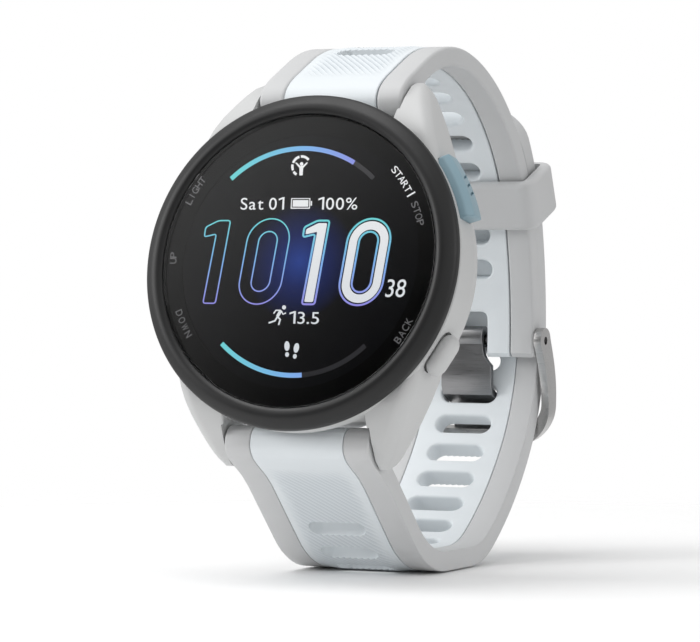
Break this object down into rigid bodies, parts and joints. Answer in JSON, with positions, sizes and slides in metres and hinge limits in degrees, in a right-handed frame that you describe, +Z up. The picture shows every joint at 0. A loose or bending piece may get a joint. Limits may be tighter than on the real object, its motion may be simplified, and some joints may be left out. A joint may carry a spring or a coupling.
{
  "type": "gps running watch",
  "caption": "Round sports watch with a lit dial, push buttons round the case and a buckled two-colour perforated silicone strap.",
  "frame": {"origin": "middle of the watch's box, on the surface that the strap stands on", "axes": "+Z up, -Y the way the dial faces, +X towards 3 o'clock on the dial"},
  "size_m": [0.0444, 0.064, 0.0681],
  "materials": {
    "bezel": "satin black moulded polymer with a thin bright chamfer line",
    "lens_glass": "clear strengthened glass, polished",
    "display": "lit round display under the glass",
    "case_polymer": "mist grey fibre-reinforced polymer, fine matt grain",
    "blue_cap": "blue-grey satin polymer with an engraved mark",
    "strap_grey": "mist grey silicone, soft matt",
    "strap_white": "cool white silicone with fine diagonal ribs",
    "buckle_steel": "dark satin steel",
    "pin_steel": "plain steel",
    "screw_steel": "dark steel",
    "seal_rubber": "black rubber",
    "sensor_glass": "smoked glossy window over the optical sensor",
    "port_black": "black moulded plastic",
    "gold_contact": "gold-plated",
    "circuit_board": "green solder mask",
    "foil": "plain metal foil and stamped sheet"
  },
  "bodies": {
    "watch": {"bezel_ring": "bezel", "lens": "lens_glass", "lens_gasket": "seal_rubber", "display_panel": "display", "display_flex": "gold_contact", "case_housing": "case_polymer", "mid_frame": "port_black", "gps_antenna": "gold_contact", "main_board": "circuit_board", "shield_can": "foil", "battery": "foil", "vibration_motor": "foil", "piezo_buzzer": "gold_contact", "back_gasket": "seal_rubber", "back_cover": "case_polymer", "sensor_board": "circuit_board", "sensor_window": "sensor_glass", "charge_port": "port_black", "charge_pin_1": "gold_contact", "charge_pin_2": "gold_contact", "charge_pin_3": "gold_contact", "charge_pin_4": "gold_contact", "cover_screw_1": "screw_steel", "cover_screw_2": "screw_steel", "cover_screw_3": "screw_steel", "cover_screw_4": "screw_steel", "start_seal": "seal_rubber", "start_switch": "foil", "back_seal": "seal_rubber", "back_switch": "foil", "light_seal": "seal_rubber", "light_switch": "foil", "up_seal": "seal_rubber", "up_switch": "foil", "down_seal": "seal_rubber", "down_switch": "foil", "upper_strap_core": "strap_white", "upper_strap_rail_right": "strap_grey", "upper_strap_rail_left": "strap_grey", "lower_strap_core": "strap_white", "lower_strap_rails": "strap_grey", "upper_bar_tube": "pin_steel", "upper_bar_spring": "pin_steel", "lower_bar_tube": "pin_steel", "lower_bar_spring": "pin_steel", "buckle_pin": "pin_steel"},
    "start_press": {"start_button": "blue_cap"},
    "back_press": {"back_button": "case_polymer"},
    "light_press": {"light_button": "case_polymer"},
    "up_press": {"up_button": "case_polymer"},
    "down_press": {"down_button": "case_polymer"},
    "strap_keeper": {"keeper": "strap_grey"},
    "buckle": {"buckle_frame": "buckle_steel"},
    "tang": {"buckle_tang": "buckle_steel"},
    "upper_release": {"upper_bar_tip": "pin_steel"},
    "lower_release": {"lower_bar_tip": "pin_steel"}
  },
  "joints": [
    {"name": "start_button_travel", "type": "slide", "parent": "watch", "child": "start_press", "axis": [-0.8829, -0.1056, -0.4574], "range_m": [0, 0.0005], "stiffness_N_per_m": 300, "springref_m": -0.0005},
    {"name": "back_button_travel", "type": "slide", "parent": "watch", "child": "back_press", "axis": [-0.866, 0.1125, 0.4872], "range_m": [0, 0.0005], "stiffness_N_per_m": 300, "springref_m": -0.0005},
    {"name": "light_button_travel", "type": "slide", "parent": "watch", "child": "light_press", "axis": [0.866, -0.1125, -0.4872], "range_m": [0, 0.0005], "stiffness_N_per_m": 300, "springref_m": -0.0005},
    {"name": "up_button_travel", "type": "slide", "parent": "watch", "child": "up_press", "axis": [1, 0, 0], "range_m": [0, 0.0005], "stiffness_N_per_m": 300, "springref_m": -0.0005},
    {"name": "down_button_travel", "type": "slide", "parent": "watch", "child": "down_press", "axis": [0.866, 0.1125, 0.4872], "range_m": [0, 0.0005], "stiffness_N_per_m": 300, "springref_m": -0.0005},
    {"name": "keeper_slide", "type": "hinge", "parent": "watch", "child": "strap_keeper", "pos_m": [0.00002, -0.00252, 0.0375], "axis": [1, 0, 0], "range_deg": [-9, 12]},
    {"name": "buckle_swing", "type": "hinge", "parent": "watch", "child": "buckle", "pos_m": [0.00002, 0.02772, 0.02908], "axis": [1, 0, 0], "range_deg": [0, 3]},
    {"name": "tang_swing", "type": "hinge", "parent": "watch", "child": "tang", "pos_m": [0.00002, 0.02772, 0.02908], "axis": [1, 0, 0], "range_deg": [0, 3]},
    {"name": "upper_release_slide", "type": "slide", "parent": "watch", "child": "upper_release", "axis": [-1, 0, 0], "range_m": [0, 0.0016], "stiffness_N_per_m": 100, "springref_m": -0.0005},
    {"name": "lower_release_slide", "type": "slide", "parent": "watch", "child": "lower_release", "axis": [-1, 0, 0], "range_m": [0, 0.0016], "stiffness_N_per_m": 100, "springref_m": -0.0005}
  ],
  "couplings": [
    {"joint": "tang_swing", "follows": "buckle_swing", "ratio": 1}
  ]
}
